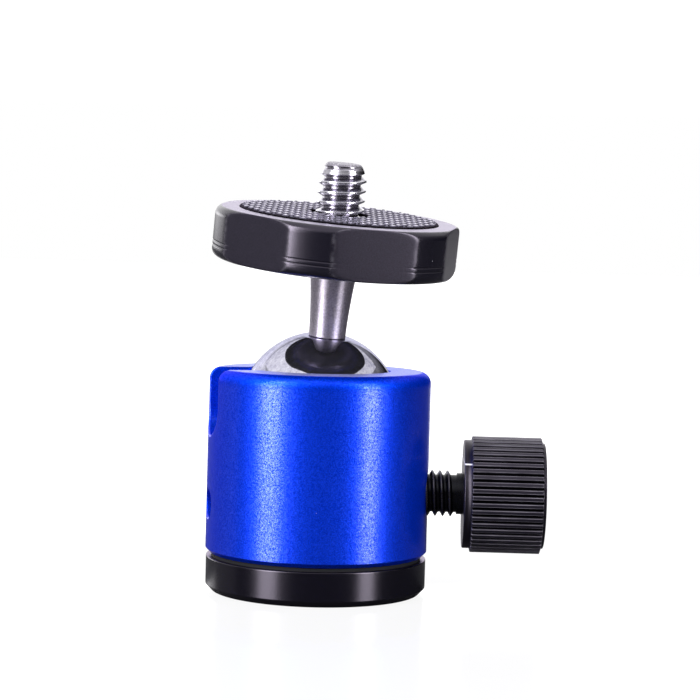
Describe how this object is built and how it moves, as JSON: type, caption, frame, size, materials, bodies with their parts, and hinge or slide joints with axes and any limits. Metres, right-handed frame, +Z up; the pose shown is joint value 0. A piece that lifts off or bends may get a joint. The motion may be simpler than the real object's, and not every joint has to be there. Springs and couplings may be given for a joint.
{
  "type": "tripod ball head",
  "caption": "Small single-knob ball head: blue cup body on a black base, polished ball, flared stem, hexagonal black platform with rubber pad and camera screw.",
  "frame": {"origin": "centre of the base plate's underside, at the mouth of the tripod screw socket", "axes": "+Z up along the axis of the round body, -Y towards the side that the head leans to, +X within 2 degrees of the lock screw's outward direction"},
  "size_m": [0.0443, 0.033, 0.056],
  "materials": {
    "housing": "royal blue anodised, fine bead blasted, satin",
    "base_plate": "black anodised, turned, satin gloss",
    "base_washer": "black, matt",
    "guide_screw": "dark oxide, dull",
    "lift_block": "turned",
    "ball_pad": "natural nylon",
    "ball": "mirror polished",
    "stem": "fine turned, satin, with a bright thread",
    "platform": "black anodised, turned rim, blasted flats",
    "rubber_pad": "black, moulded diamond grain",
    "thrust_tip": "turned",
    "lock_screw": "black oxide, oily sheen",
    "knob_grip": "black anodised, ribbed",
    "knob_cap": "black"
  },
  "bodies": {
    "body": {"housing": "housing", "base_plate": "base_plate", "base_washer": "base_washer", "guide_screw": "guide_screw"},
    "thrust": {"thrust_tip": "thrust_tip"},
    "knob": {"lock_screw": "lock_screw", "knob_grip": "knob_grip", "knob_cap": "knob_cap"},
    "lift": {"lift_block": "lift_block"},
    "pad": {"ball_pad": "ball_pad"},
    "ball": {"ball": "ball"},
    "stem": {"stem": "stem"},
    "platform": {"platform": "platform", "rubber_pad": "rubber_pad"}
  },
  "joints": [
    {"name": "knob_travel", "type": "slide", "parent": "body", "child": "thrust", "axis": [0.9994, -0.0349, 0], "range_m": [-0.000333, 0.0005]},
    {"name": "knob_turn", "type": "hinge", "parent": "thrust", "child": "knob", "pos_m": [0, 0, 0.0132], "axis": [0.9994, -0.0349, 0], "range_deg": [-121, 181]},
    {"name": "seat_lift", "type": "slide", "parent": "body", "child": "lift", "axis": [0, 0, 1], "range_m": [-0.0003, 0.0002]},
    {"name": "ball_swing", "type": "hinge", "parent": "lift", "child": "pad", "pos_m": [0, 0, 0.02345], "axis": [-0.9781, -0.2079, 0], "range_deg": [-23.2, 36.6]},
    {"name": "ball_tilt", "type": "hinge", "parent": "pad", "child": "ball", "pos_m": [0, 0, 0.02345], "axis": [0.2065, -0.9714, -0.1173], "range_deg": [-27, 92.9]},
    {"name": "ball_twist", "type": "hinge", "parent": "ball", "child": "stem", "pos_m": [0, 0, 0.02345], "axis": [0.0734, -0.1041, 0.9919], "continuous": true},
    {"name": "platform_turn", "type": "hinge", "parent": "stem", "child": "platform", "pos_m": [0, 0, 0.02345], "axis": [0.0734, -0.1041, 0.9919], "continuous": true}
  ],
  "couplings": [
    {"joint": "knob_turn", "follows": "knob_travel", "rad_per_m": 6283.2},
    {"joint": "seat_lift", "follows": "knob_travel", "ratio": -0.57735}
  ]
}
